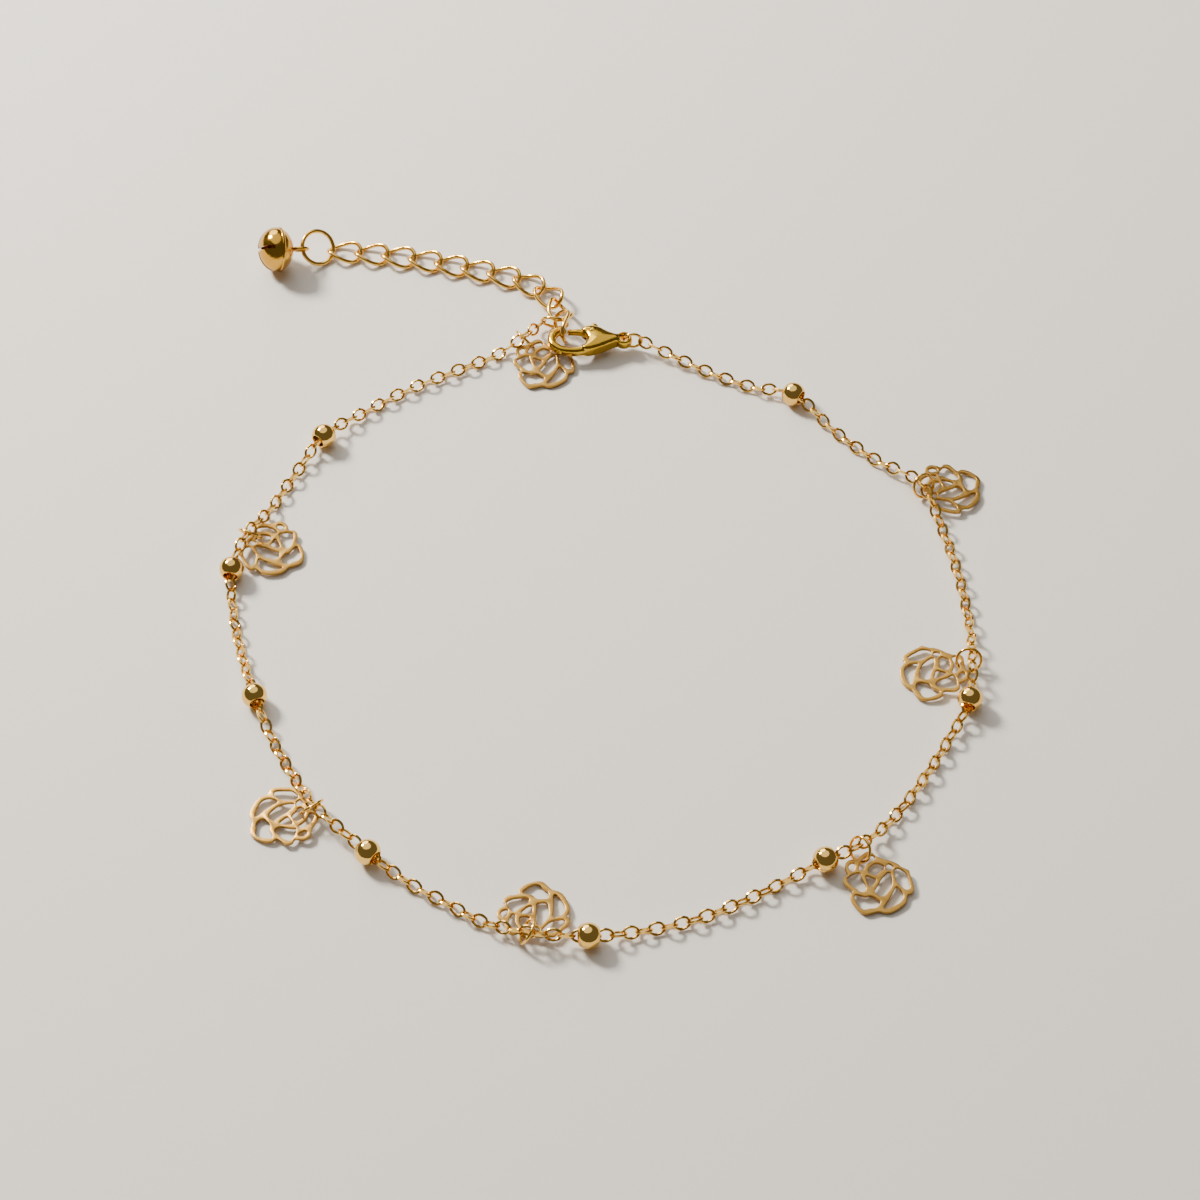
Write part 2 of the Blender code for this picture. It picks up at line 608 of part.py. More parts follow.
def make_bell(ring_gold, bell_gold):
    normal = Vector(BELL_RING_NORMAL).normalized()
    slope = math.sqrt(1 - normal.z**2)
    ring_radius = (BELL_RING_D - BELL_RING_WIRE) / 2
    height = ring_radius * slope + BELL_RING_WIRE / 2 + FLOOR_GAP
    way = math.radians(BELL_RING_WAY)
    step = LINK_L / 2 - LINK_WIRE + BELL_RING_D / 2 - BELL_RING_WIRE - BELL_RING_PLAY
    last_link = extender_poses()[-1][0]
    ring_at = last_link + Vector((step * math.cos(way), step * math.sin(way), height))
    jump_ring("bell_ring", ring_at, normal, BELL_RING_D, BELL_RING_WIRE, ring_gold)

    to_bell = Vector((BELL_FAR[0], BELL_FAR[1], 0)).normalized()
    on_ring = (to_bell - normal * to_bell.dot(normal)).normalized()
    held = ring_at + on_ring * ring_radius
    loop_at = BELL_L / 2 + BELL_LOOP_R - BELL_LOOP_WIRE / 2
    reach = loop_at + BELL_LOOP_R - BELL_LOOP_WIRE - BELL_RING_WIRE / 2 - BELL_LOOP_GAP
    rest = BELL_D / 2 + BELL_SEAM + FLOOR_GAP
    for _ in range(4):
        rise = held.z - rest
        axis = (-to_bell * math.sqrt(reach**2 - rise**2) + Vector((0, 0, rise))).normalized()
        rest = (BELL_D / 2 + BELL_SEAM) * math.sqrt(1 - axis.z**2) + BELL_SEAM_AT * abs(axis.z) + FLOOR_GAP
    tangent = normal.cross(on_ring)
    hole_axis = (tangent - axis * tangent.dot(axis)).normalized()
    turn = pose(axis, hole_axis.cross(axis), hole_axis, held - axis * reach)

    def shell(name, inwards):
        """The bell's outer or inner form: a bowl and a lid that meet in a raised seam."""
        half, radius = BELL_L / 2 - inwards, BELL_D / 2 - inwards
        steps = 10
        profile = []
        for k in range(steps + 1):
            turn_at = math.pi * k / steps
            profile.append((-half * math.cos(turn_at), 0 if k in (0, steps) else radius * math.sin(turn_at)))
        return lathe(name, profile, BELL_SIDES, bell_gold)

    bell = shell("bell", 0.0)
    hollow = shell("bell_hollow", BELL_WALL)
    low, high = BELL_D / 2 - BELL_WALL * 0.8, BELL_D / 2 + BELL_SEAM
    near, far = BELL_SEAM_AT - BELL_SEAM_W / 2, BELL_SEAM_AT + BELL_SEAM_W / 2
    seam = lathe("bell_seam", [(near, low), (near, high), (far, high), (far, low)], BELL_SIDES, bell_gold)
    reach_in = BELL_L * (1 - BELL_SLIT_REACH)
    box = ((-BELL_L, -BELL_D), (-reach_in * 0.35, -BELL_D), (-reach_in * 0.35, BELL_D), (-BELL_L, BELL_D))
    slit_outline = tuple((x / MM, y / MM) for x, y in box)
    slits = [prism(f"bell_slit_{k}", slit_outline, BELL_SLIT / 2, 0, bell_gold) for k in (1, 2)]
    loop_d = 2 * BELL_LOOP_R
    loop = jump_ring("bell_loop", Vector((loop_at, 0, 0)), Vector((0, 0, 1)), loop_d, BELL_LOOP_WIRE, bell_gold)
    boolean(bell, seam, "UNION")
    boolean(bell, hollow, "DIFFERENCE")
    boolean(bell, loop, "UNION")
    for slit in slits:
        boolean(bell, slit, "DIFFERENCE")
    for obj in (bell, hollow, seam, loop, slits[0]):
        obj.matrix_world = turn
    slits[1].matrix_world = turn @ Matrix.Rotation(math.pi / 2, 4, "X")


def put_origin_under_middle():
    """Parents everything to an empty, so that z = 0 is the lowest point and the box's middle is at x = y = 0."""
    bpy.context.view_layer.update()
    graph = bpy.context.evaluated_depsgraph_get()
    corners = []
    for obj in bpy.data.objects:
        if not obj.hide_render:
            evaluated = obj.evaluated_get(graph)
            mesh = evaluated.to_mesh()
            corners += [evaluated.matrix_world @ vertex.co for vertex in mesh.vertices]
            evaluated.to_mesh_clear()
    low = Vector([min(point[axis] for point in corners) for axis in range(3)])
    high = Vector([max(point[axis] for point in corners) for axis in range(3)])
    pieces = list(bpy.data.objects)
    frame = bpy.data.objects.new("anklet", None)
    frame.location = (-(low.x + high.x) / 2, -(low.y + high.y) / 2, -low.z)
    bpy.context.scene.collection.objects.link(frame)
    for piece in pieces:
        piece.parent = frame


def main():
    clear_scene()
    polished = gold("polished_gold", (0.72, 0.46, 0.14), 0.18)
    satin = gold("satin_gold", (0.68, 0.50, 0.24), 0.34)
    knots = route_knots()
    points, held = chain_points(smooth_curve(knots, KNOT_STEPS), knots)
    make_chain(points, polished)
    make_beads(held, polished)
    make_charms(held, satin, polished)
    make_clasp(polished)
    make_extender(polished)
    make_chain_ring(polished)
    make_bell(polished, polished)
    put_origin_under_middle()


main()
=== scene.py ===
import math

import bmesh
import bpy
import numpy as np
from mathutils import Matrix, Vector


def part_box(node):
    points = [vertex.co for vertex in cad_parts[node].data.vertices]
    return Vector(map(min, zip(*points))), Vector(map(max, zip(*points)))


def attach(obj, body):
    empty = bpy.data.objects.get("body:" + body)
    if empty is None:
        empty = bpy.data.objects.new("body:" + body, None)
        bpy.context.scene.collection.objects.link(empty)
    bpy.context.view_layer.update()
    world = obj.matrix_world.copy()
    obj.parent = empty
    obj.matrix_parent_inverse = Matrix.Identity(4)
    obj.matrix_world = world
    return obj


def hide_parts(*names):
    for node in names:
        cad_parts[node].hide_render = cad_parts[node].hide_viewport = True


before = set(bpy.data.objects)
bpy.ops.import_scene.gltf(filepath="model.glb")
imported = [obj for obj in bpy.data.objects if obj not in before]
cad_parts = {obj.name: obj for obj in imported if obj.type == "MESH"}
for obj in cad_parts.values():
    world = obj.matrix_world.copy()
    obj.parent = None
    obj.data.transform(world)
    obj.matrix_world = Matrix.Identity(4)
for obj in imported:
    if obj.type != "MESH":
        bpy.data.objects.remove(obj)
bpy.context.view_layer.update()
MM = 0.001


# The frame
# The anklet lies open on a surface at z = 0. Sizes below are in millimetres, and each is turned
# to metres where a mesh is made. Places read from the photograph are measured from its middle.

PHOTO_MIDDLE = Vector((-0.952, -4.364, -0.008)) * MM
CAMERA_ELEVATION = math.radians(51.5)
CAMERA_DISTANCE = 329.8 * MM
CAMERA_LENS = 93.0
CAMERA_SENSOR = 36.0
CAMERA_SEES_FROM = 0.01

camera_data = bpy.data.cameras.new("camera")
camera_data.lens = CAMERA_LENS
camera_data.sensor_width = CAMERA_SENSOR
camera_data.clip_start = CAMERA_SEES_FROM
camera = bpy.data.objects.new("camera", camera_data)
camera.location = PHOTO_MIDDLE + Vector(
    (0, -CAMERA_DISTANCE * math.cos(CAMERA_ELEVATION), CAMERA_DISTANCE * math.sin(CAMERA_ELEVATION))
)
camera.rotation_euler = (math.radians(90) - CAMERA_ELEVATION, 0, 0)
bpy.context.scene.collection.objects.link(camera)
bpy.context.scene.camera = camera


# The studio
# A plain pale table and plain soft light: a small lamp from the upper left, where the photograph's
# sun is, and a window and a broad overhead panel behind it that the polished metal reflects.

FLOOR_COLOUR = "#E8E4DC"
FLOOR_ROUGHNESS = 0.85
FLOOR_SIZE = 3.0
WORLD_COLOUR = "#928E88"
WORLD_STRENGTH = 0.5
LAMPS = (
    # name, place (m), width (m), watts, colour
    ("key_lamp", (-0.36, 0.30, 0.36), 0.14, 7.5, "#FFF8EE"),
    ("window", (-0.22, 0.62, 0.34), 0.46, 2.4, "#FFFFFF"),
    ("overhead", (-0.10, 0.30, 0.80), 1.10, 3.4, "#FFFCF6"),
)


def linear(hex_colour):
    """An sRGB hex colour as linear red, green, blue and alpha."""
    values = [int(hex_colour[i : i + 2], 16) / 255 for i in (1, 3, 5)]
    return (*[v / 12.92 if v <= 0.04045 else ((v + 0.055) / 1.055) ** 2.4 for v in values], 1.0)


# Matt paper: a pale, even surface that takes soft shadows and shows no shine.
floor_material = bpy.data.materials.new("matt_paper")
floor_material.use_nodes = True
floor_shader = floor_material.node_tree.nodes["Principled BSDF"]
floor_shader.inputs["Base Color"].default_value = linear(FLOOR_COLOUR)
floor_shader.inputs["Roughness"].default_value = FLOOR_ROUGHNESS

half = FLOOR_SIZE / 2
floor_corners = [(-half, -half, 0), (half, -half, 0), (half, half, 0), (-half, half, 0)]
floor_mesh = bpy.data.meshes.new("floor")
floor_mesh.from_pydata(floor_corners, [], [(0, 1, 2, 3)])
floor_mesh.materials.append(floor_material)
floor = bpy.data.objects.new("floor", floor_mesh)
bpy.context.scene.collection.objects.link(floor)

for name, place, width, watts, colour in LAMPS:
    lamp_data = bpy.data.lights.new(name, "AREA")
    lamp_data.shape = "DISK"
    lamp_data.size = width
    lamp_data.energy = watts
    lamp_data.color = linear(colour)[:3]
    lamp = bpy.data.objects.new(name, lamp_data)
    lamp.location = place
    lamp.rotation_euler = (-Vector(place)).to_track_quat("-Z", "Y").to_euler()
    bpy.context.scene.collection.objects.link(lamp)

world = bpy.data.worlds.new("soft_room")
world.use_nodes = True
world.node_tree.nodes["Background"].inputs["Color"].default_value = linear(WORLD_COLOUR)
world.node_tree.nodes["Background"].inputs["Strength"].default_value = WORLD_STRENGTH
bpy.context.scene.world = world


# The fine chain
# Cable chain: oval links of round brass wire, each turned a quarter from the last and soldered shut,
# then gold plated and polished. It lies on the table and rises over each rose's ring.

CHAIN_ROUTE = (
    # what the chain does there, then x, y and z of its middle
    ("end", -6.83, 39.16, 1.20),
    ("charm", -8.75, 36.80, 1.60),
    ("low", -11.30, 35.20, 0.67),
    ("low", -16.20, 32.50, 0.67),
    ("low", -21.20, 29.80, 0.67),
    ("low", -25.90, 26.50, 0.67),
    ("bead", -30.50, 22.10, 1.36),
    ("low", -33.30, 17.30, 0.67),
    ("low", -35.90, 11.90, 0.71),
    ("charm", -37.90, 8.00, 1.60),
    ("bead", -39.30, 3.20, 1.36),
    ("low", -38.90, -1.50, 0.67),
    ("low", -37.90, -6.40, 0.67),
    ("bead", -35.70, -13.70, 1.36),
    ("low", -33.80, -18.30, 0.67),
    ("low", -31.30, -23.10, 0.67),
    ("charm", -28.70, -27.60, 1.60),
    ("bead", -23.10, -33.10, 1.36),
    ("low", -18.90, -36.30, 0.67),
    ("low", -14.60, -39.00, 0.67),
    ("low", -11.60, -40.80, 0.67),
    ("charm", -7.00, -42.60, 1.60),
    ("bead", -1.10, -42.90, 1.36),
    ("low", 4.20, -41.90, 0.67),
    ("low", 9.60, -40.50, 0.67),
    ("low", 14.80, -38.10, 0.67),
    ("low", 18.70, -35.90, 0.67),
    ("bead", 22.40, -34.00, 1.36),
    ("charm", 25.80, -32.40, 1.53),
    ("low", 29.40, -28.60, 0.67),
    ("low", 32.70, -23.90, 0.67),
    ("low", 35.50, -19.20, 0.67),
    ("bead", 38.20, -14.10, 1.36),
    ("charm", 38.80, -8.90, 1.53),
    ("low", 38.90, -3.20, 0.67),
    ("low", 38.20, 3.40, 0.67),
    ("low", 36.90, 9.60, 0.67),
    ("charm", 35.00, 14.90, 1.60),
    ("low", 30.30, 19.20, 0.67),
    ("low", 26.10, 23.30, 0.67),
    ("bead", 21.60, 28.30, 1.36),
    ("low", 17.10, 30.00, 0.67),
    ("low", 12.20, 32.30, 0.67),
    ("end", 5.14, 36.17, 1.35),
)
CHAIN_LINK_L = 1.90
CHAIN_LINK_W = 1.46
CHAIN_WIRE = 0.30
CHAIN_PITCH = 1.285
CHAIN_OVAL_STEPS = 16
CHAIN_WIRE_SIDES = 6
CHAIN_FIRST_TURN = math.radians(45)
CHAIN_LOOSENESS = math.radians(9)
CHAIN_SEED = 7


def smooth_curve(knots, steps=24):
    """A Catmull-Rom curve through the knots, spaced by the root of their distance."""
    knots = [2 * knots[0] - knots[1]] + knots + [2 * knots[-1] - knots[-2]]
    curve = []
    for p0, p1, p2, p3 in zip(knots, knots[1:], knots[2:], knots[3:]):
        t0 = 0.0
        t1 = t0 + (p1 - p0).length ** 0.5
        t2 = t1 + (p2 - p1).length ** 0.5
        t3 = t2 + (p3 - p2).length ** 0.5
        for k in range(steps):
            t = t1 + (t2 - t1) * k / steps
            a1 = p0.lerp(p1, (t - t0) / (t1 - t0))
            a2 = p1.lerp(p2, (t - t1) / (t2 - t1))
            a3 = p2.lerp(p3, (t - t2) / (t3 - t2))
            b1 = a1.lerp(a2, (t - t0) / (t2 - t0))
            b2 = a2.lerp(a3, (t - t1) / (t3 - t1))
            curve.append(b1.lerp(b2, (t - t1) / (t2 - t1)))
    curve.append(knots[-2])
    return curve


def add_node(tree, kind, links=(), **settings):
    """Adds a node with its own settings or input values, and links of (input, source socket or value)."""
    node = tree.nodes.new(kind)
    for key, value in settings.items():
        if hasattr(node, key):
            setattr(node, key, value)
        else:
            node.inputs[key.replace("_", " ")].default_value = value
    for place, source in links:
        if isinstance(source, bpy.types.NodeSocket):
            tree.links.new(source, node.inputs[place])
        else:
            node.inputs[place].default_value = source
    return node


def plated_gold(name, bright, deep, roughness, wear_mm, grain_mm, grain_depth):
    """Gold plate on brass: its colour drifts a little where the plating is thinner or handled.

    bright and deep are the two ends of its colour, wear_mm the size of the soft patches, and
    grain_mm and grain_depth the size and strength of what polishing or etching leaves. Real grain
    is under a hundredth of a millimetre and wouldn't show, so it is drawn coarser.
    """
    material = bpy.data.materials.new(name)
    material.use_nodes = True
    tree = material.node_tree
    shader = tree.nodes["Principled BSDF"]
    shader.inputs["Metallic"].default_value = 1.0
    place = add_node(tree, "ShaderNodeTexCoord").outputs["Object"]
    patches = add_node(
        tree, "ShaderNodeTexNoise",
        [("Vector", place)], Scale=1 / (wear_mm * MM), Detail=3.0, Roughness=0.55,
    )
    colour = add_node(tree, "ShaderNodeMix", [("Factor", patches.outputs["Fac"])], data_type="RGBA")
    for socket in colour.inputs:
        if socket.type == "RGBA":
            socket.default_value = linear(bright) if socket.name == "A" else linear(deep)
    grain = add_node(
        tree, "ShaderNodeTexNoise",
        [("Vector", place)], Scale=1 / (grain_mm * MM), Detail=4.0, Roughness=0.6,
    )
    gloss = add_node(
        tree, "ShaderNodeMapRange", [("Value", grain.outputs["Fac"])],
        From_Min=0.3, From_Max=0.7, To_Min=roughness * 0.75, To_Max=roughness * 1.3,
    )
    bump = add_node(
        tree, "ShaderNodeBump",
        [("Height", grain.outputs["Fac"])], Strength=grain_depth, Distance=grain_mm * MM,
    )
    result = [socket for socket in colour.outputs if socket.type == "RGBA"][0]
    tree.links.new(result, shader.inputs["Base Color"])
    tree.links.new(gloss.outputs["Result"], shader.inputs["Roughness"])
    tree.links.new(bump.outputs["Normal"], shader.inputs["Normal"])
    return material


def finished(obj, name, material=None, flat_above=40):
    """The object's evaluated shape as a plain mesh at the origin, smooth but for sharp edges."""
    bpy.context.view_layer.update()
    graph = bpy.context.evaluated_depsgraph_get()
    mesh = bpy.data.meshes.new_from_object(obj.evaluated_get(graph))
    mesh.transform(obj.matrix_world)
    bpy.data.objects.remove(obj)
    mesh.name = name
    if material:
        mesh.materials.clear()
        mesh.materials.append(material)
        mesh.polygons.foreach_set("material_index", [0] * len(mesh.polygons))
    mesh.shade_smooth()
    mesh.set_sharp_from_angle(angle=math.radians(flat_above))
    piece = bpy.data.objects.new(name, mesh)
    bpy.context.scene.collection.objects.link(piece)
    return piece


def chain_of_links(material):
    """A node tree that lays oval links along a curve, each a quarter turn from the last."""
    tree = bpy.data.node_groups.new("chain_of_links", "GeometryNodeTree")
    face = tree.interface
    face.new_socket("Geometry", in_out="INPUT", socket_type="NodeSocketGeometry")
    for label, kind in (
        ("Links", "Int"), ("Link length", "Float"), ("Link width", "Float"), ("Wire", "Float"),
        ("First turn", "Float"), ("Looseness", "Float"), ("Seed", "Int"),
    ):
        face.new_socket(label, in_out="INPUT", socket_type="NodeSocket" + kind)
    face.new_socket("Geometry", in_out="OUTPUT", socket_type="NodeSocketGeometry")
    given = add_node(tree, "NodeGroupInput").outputs

    # The link's middle line is an oval, half a wire in from its outer size.
    inner_l = add_node(
        tree, "ShaderNodeMath", [(0, given["Link length"]), (1, given["Wire"])], operation="SUBTRACT"
    )
    inner_w = add_node(
        tree, "ShaderNodeMath", [(0, given["Link width"]), (1, given["Wire"])], operation="SUBTRACT"
    )
    half_l = add_node(tree, "ShaderNodeMath", [(0, inner_l.outputs[0]), (1, 0.5)], operation="MULTIPLY")
    half_w = add_node(tree, "ShaderNodeMath", [(0, inner_w.outputs[0]), (1, 0.5)], operation="MULTIPLY")
    half_wire = add_node(tree, "ShaderNodeMath", [(0, given["Wire"]), (1, 0.5)], operation="MULTIPLY")
    oval_size = add_node(
        tree, "ShaderNodeCombineXYZ", [("X", half_w.outputs[0]), ("Z", half_l.outputs[0])], Y=1.0
    )
    circle = add_node(tree, "GeometryNodeCurvePrimitiveCircle", Resolution=CHAIN_OVAL_STEPS, Radius=1.0)
    upright = add_node(
        tree, "GeometryNodeTransform",
        [("Geometry", circle.outputs["Curve"])], Rotation=(math.radians(90), 0, 0),
    )
    oval = add_node(
        tree, "GeometryNodeTransform",
        [("Geometry", upright.outputs["Geometry"]), ("Scale", oval_size.outputs["Vector"])],
    )
    section = add_node(
        tree, "GeometryNodeCurvePrimitiveCircle",
        [("Radius", half_wire.outputs[0])], Resolution=CHAIN_WIRE_SIDES,
    )
    link = add_node(
        tree, "GeometryNodeCurveToMesh",
        [("Curve", oval.outputs["Geometry"]), ("Profile Curve", section.outputs["Curve"])],
    )

    # Each link faces along the route; every second one gets a quarter turn, and each a small one.
    points = add_node(
        tree, "GeometryNodeCurveToPoints",
        [("Curve", given["Geometry"]), ("Count", given["Links"])], mode="COUNT",
    )
    facing = add_node(
        tree, "FunctionNodeAxesToRotation",
        [("Primary Axis", points.outputs["Tangent"])], primary_axis="Z", secondary_axis="Y",
    )
    facing.inputs["Secondary Axis"].default_value = (0, 0, 1)
    number = add_node(tree, "GeometryNodeInputIndex").outputs["Index"]
    second = add_node(tree, "ShaderNodeMath", [(0, number), (1, 2)], operation="MODULO")
    quarter = add_node(
        tree, "ShaderNodeMath", [(0, second.outputs[0]), (1, math.radians(90))], operation="MULTIPLY"
    )
    shake = add_node(
        tree, "FunctionNodeRandomValue",
        [("ID", number), ("Seed", given["Seed"])], data_type="FLOAT", Min=-1.0, Max=1.0,
    )
    shaken = [socket for socket in shake.outputs if socket.type == "VALUE" and socket.enabled][0]
    loose = add_node(tree, "ShaderNodeMath", [(0, shaken), (1, given["Looseness"])], operation="MULTIPLY")
    plain_turn = add_node(
        tree, "ShaderNodeMath", [(0, quarter.outputs[0]), (1, given["First turn"])], operation="ADD"
    )
    turn = add_node(
        tree, "ShaderNodeMath", [(0, plain_turn.outputs[0]), (1, loose.outputs[0])], operation="ADD"
    )
    about = add_node(
        tree, "FunctionNodeAxisAngleToRotation", [("Angle", turn.outputs[0])], Axis=(0, 0, 1)
    )
    both = add_node(
        tree, "FunctionNodeRotateRotation",
        [("Rotation", facing.outputs["Rotation"]), ("Rotate By", about.outputs["Rotation"])],
        rotation_space="LOCAL",
    )
    laid = add_node(
        tree, "GeometryNodeInstanceOnPoints",
        [
            ("Points", points.outputs["Points"]), ("Instance", link.outputs["Mesh"]),
            ("Rotation", both.outputs["Rotation"]),
        ],
    )
    real = add_node(tree, "GeometryNodeRealizeInstances", [("Geometry", laid.outputs["Instances"])])
    clad = add_node(tree, "GeometryNodeSetMaterial", [("Geometry", real.outputs["Geometry"])])
    clad.inputs["Material"].default_value = material
    add_node(tree, "NodeGroupOutput", [("Geometry", clad.outputs["Geometry"])])
    return tree


def with_tree(obj, tree, values):
    """Puts a node tree on an object, with its inputs set by their names."""
    modifier = obj.modifiers.new(tree.name, "NODES")
    modifier.node_group = tree
    for item in tree.interface.items_tree:
        if item.in_out == "INPUT" and item.name in values:
            modifier[item.identifier] = values[item.name]


# Tumbled plate on fine wire: bright, with the slight waviness that tumbling leaves.
chain_gold = plated_gold(
    "tumbled_gold_plate", bright="#FAD270", deep="#E5AC4C",
    roughness=0.15, wear_mm=6.0, grain_mm=0.35, grain_depth=0.05,
)

route_curve = bpy.data.curves.new("chain_route", "CURVE")
route_curve.dimensions = "3D"
laid_line = smooth_curve([PHOTO_MIDDLE + Vector(row[1:]) * MM for row in CHAIN_ROUTE])
route_spline = route_curve.splines.new("POLY")
route_spline.points.add(len(laid_line) - 1)
for point, spot in zip(route_spline.points, laid_line):
    point.co = (*spot, 1.0)
chain_route = bpy.data.objects.new("chain_route", route_curve)
bpy.context.scene.collection.objects.link(chain_route)
chain_length = sum((b - a).length for a, b in zip(laid_line, laid_line[1:]))
with_tree(
    chain_route, chain_of_links(chain_gold),
    {
        "Links": round(chain_length / (CHAIN_PITCH * MM)) + 1,
        "Link length": CHAIN_LINK_L * MM, "Link width": CHAIN_LINK_W * MM, "Wire": CHAIN_WIRE * MM,
        "First turn": CHAIN_FIRST_TURN, "Looseness": CHAIN_LOOSENESS, "Seed": CHAIN_SEED,
    },
)
fine_chain = finished(chain_route, "fine_chain")
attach(fine_chain, "anklet")
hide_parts("chain")


# The round beads
# Hollow brass balls drilled through and threaded on the chain, gold plated and polished to a mirror.
# The drill leaves a softened rim where the chain goes in.

BEAD_D = 2.66
BEAD_BORE_D = 1.48
BEAD_RIM = 0.07
BEAD_SIDES = 48
BEAD_ARC_STEPS = 24
BEAD_RIM_BENDS = (0.6, 1.2)


def lathed(name, profile, sides, material, place=Matrix.Identity(4)):
    """A closed surface turned about X from (x, radius) pairs in millimetres; radius 0 is a pole."""
    bm = bmesh.new()
    rings = []
    for x, radius in profile:
        if radius < 1e-6:
            rings.append([bm.verts.new((x * MM, 0, 0))] * sides)
            continue
        turns = [2 * math.pi * k / sides for k in range(sides)]
        around = [Vector((x, radius * math.cos(t), radius * math.sin(t))) * MM for t in turns]
        rings.append([bm.verts.new(spot) for spot in around])
    pairs = list(zip(rings, rings[1:]))
    if profile[0][1] > 0:
        pairs.append((rings[-1], rings[0]))
    for one, two in pairs:
        for k in range(sides):
            loop = [one[k], one[(k + 1) % sides], two[(k + 1) % sides], two[k]]
            bm.faces.new(dict.fromkeys(loop))
    bmesh.ops.recalc_face_normals(bm, faces=bm.faces)
    mesh = bpy.data.meshes.new(name)
    bm.to_mesh(mesh)
    bm.free()
    mesh.transform(place)
    mesh.materials.append(material)
    mesh.shade_smooth()
    obj = bpy.data.objects.new(name, mesh)
    bpy.context.scene.collection.objects.link(obj)
    return obj


def bead_profile():
    """Out of the bore, round the rim's small radius and over the ball, as (x, radius)."""
    ball, bore = BEAD_D / 2, BEAD_BORE_D / 2
    rim_r = bore + BEAD_RIM
    rim_x = math.sqrt((ball - BEAD_RIM) ** 2 - rim_r**2)
    lean = math.atan2(rim_r, rim_x)
    turns = [lean + (math.pi - 2 * lean) * k / BEAD_ARC_STEPS for k in range(BEAD_ARC_STEPS + 1)]
    over = [(ball * math.cos(t), ball * math.sin(t)) for t in turns]
    bends = (*[lean - bend for bend in BEAD_RIM_BENDS], -math.pi / 2)
    rim = [(rim_x + BEAD_RIM * math.cos(t), rim_r + BEAD_RIM * math.sin(t)) for t in bends]
    left = [(-x, r) for x, r in reversed(rim)]
    return rim[::-1] + over + left[::-1]


def beside(line, spot):
    """The direction of a line of points where it passes nearest to a spot."""
    nearest = min(range(1, len(line) - 1), key=lambda i: (line[i] - spot).length)
    return (line[nearest + 1] - line[nearest - 1]).normalized()


# Mirror-polished plate: smoother than the chain, so that each ball shows the lamps and the table.
bead_gold = plated_gold(
    "mirror_gold_plate", bright="#FAD474", deep="#E7B052",
    roughness=0.08, wear_mm=4.0, grain_mm=0.5, grain_depth=0.02,
)

for number in range(1, 9):
    low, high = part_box(f"bead_{number}")
    middle = (Vector(low) + Vector(high)) / 2
    turn = beside(laid_line, middle).to_track_quat("X", "Z").to_matrix().to_4x4()
    place = Matrix.Translation(middle) @ turn
    bead = lathed(f"round_bead_{number}", bead_profile(), BEAD_SIDES, bead_gold, place)
    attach(bead, "anklet")
    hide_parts(f"bead_{number}")


# The jump rings
# Round brass wire bent to a ring and closed on itself, so a hairline shows where its ends meet.
# Seven hold the roses; one is on the clasp's eye, one ends the chain and one carries the bell.

RINGS = {
    # node: outer diameter and wire
    **{f"charm_ring_{k}": (2.88, 0.32) for k in range(1, 8)},
    "clasp_ring": (2.36, 0.34),
    "chain_ring": (3.38, 0.36),
    "bell_ring": (4.38, 0.50),
}
RING_CUT = 0.03
RING_STEPS = 56
WIRE_SIDES = 14


def lie_of(node):
    """Where a CAD node lies: its surface's middle, and its axes from the flattest to the longest."""
    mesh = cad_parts[node].data
    mesh.calc_loop_triangles()
    points = np.array([vertex.co for vertex in mesh.vertices])
    corners = points[np.array([triangle.vertices for triangle in mesh.loop_triangles])]
    crossed = np.cross(corners[:, 1] - corners[:, 0], corners[:, 2] - corners[:, 0])
    areas = np.linalg.norm(crossed, axis=1)
    centres = corners.mean(axis=1)
    middle = (centres * areas[:, None]).sum(axis=0) / areas.sum()
    away = centres - middle
    spread = (away * areas[:, None]).T @ away / areas.sum()
    axes = np.linalg.eigh(spread)[1].T
    return Vector(middle), [Vector(axis) for axis in axes]


def swept(name, path, wire, sides, material, closed=True, flat_towards=Vector((0, 0, 1))):
    """Round wire along a path in metres, in one closed skin; an open path gets flat ends."""
    bm = bmesh.new()
    count = len(path)
    rings = []
    for i, here in enumerate(path):
        after = path[(i + 1) % count] if closed or i < count - 1 else here
        before = path[i - 1] if closed or i > 0 else here
        along = (after - before).normalized()
        up = (flat_towards - along * flat_towards.dot(along)).normalized()
        side = along.cross(up)
        turns = [2 * math.pi * k / sides for k in range(sides)]
        around = [here + (side * math.cos(t) + up * math.sin(t)) * wire / 2 for t in turns]
        rings.append([bm.verts.new(spot) for spot in around])
    for i in range(count if closed else count - 1):
        one, two = rings[i], rings[(i + 1) % count]
        for k in range(sides):
            bm.faces.new((one[k], one[(k + 1) % sides], two[(k + 1) % sides], two[k]))
    if not closed:
        bm.faces.new(rings[0])
        bm.faces.new(rings[-1])
    bmesh.ops.recalc_face_normals(bm, faces=bm.faces)
    mesh = bpy.data.meshes.new(name)
    bm.to_mesh(mesh)
    bm.free()
    mesh.materials.append(material)
    mesh.shade_smooth()
    mesh.set_sharp_from_angle(angle=math.radians(50))
    obj = bpy.data.objects.new(name, mesh)
    bpy.context.scene.collection.objects.link(obj)
    return obj


for node, (outer, wire) in RINGS.items():
    middle, (normal, first, second) = lie_of(node)
    radius = (outer - wire) / 2 * MM
    cut = RING_CUT * MM / radius
    turns = [cut / 2 + (2 * math.pi - cut) * k / RING_STEPS for k in range(RING_STEPS + 1)]
    path = [middle + (first * math.cos(t) + second * math.sin(t)) * radius for t in turns]
    ring = swept("jump_" + node, path, wire * MM, WIRE_SIDES, chain_gold, closed=False, flat_towards=normal)
    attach(ring, "anklet")
    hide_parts(node)


# The roses
# Flat roses etched right through thin brass sheet, so that only the petals' outlines are left, then
# plated with a paler gold and tumbled, which leaves a satin face and softened edges.

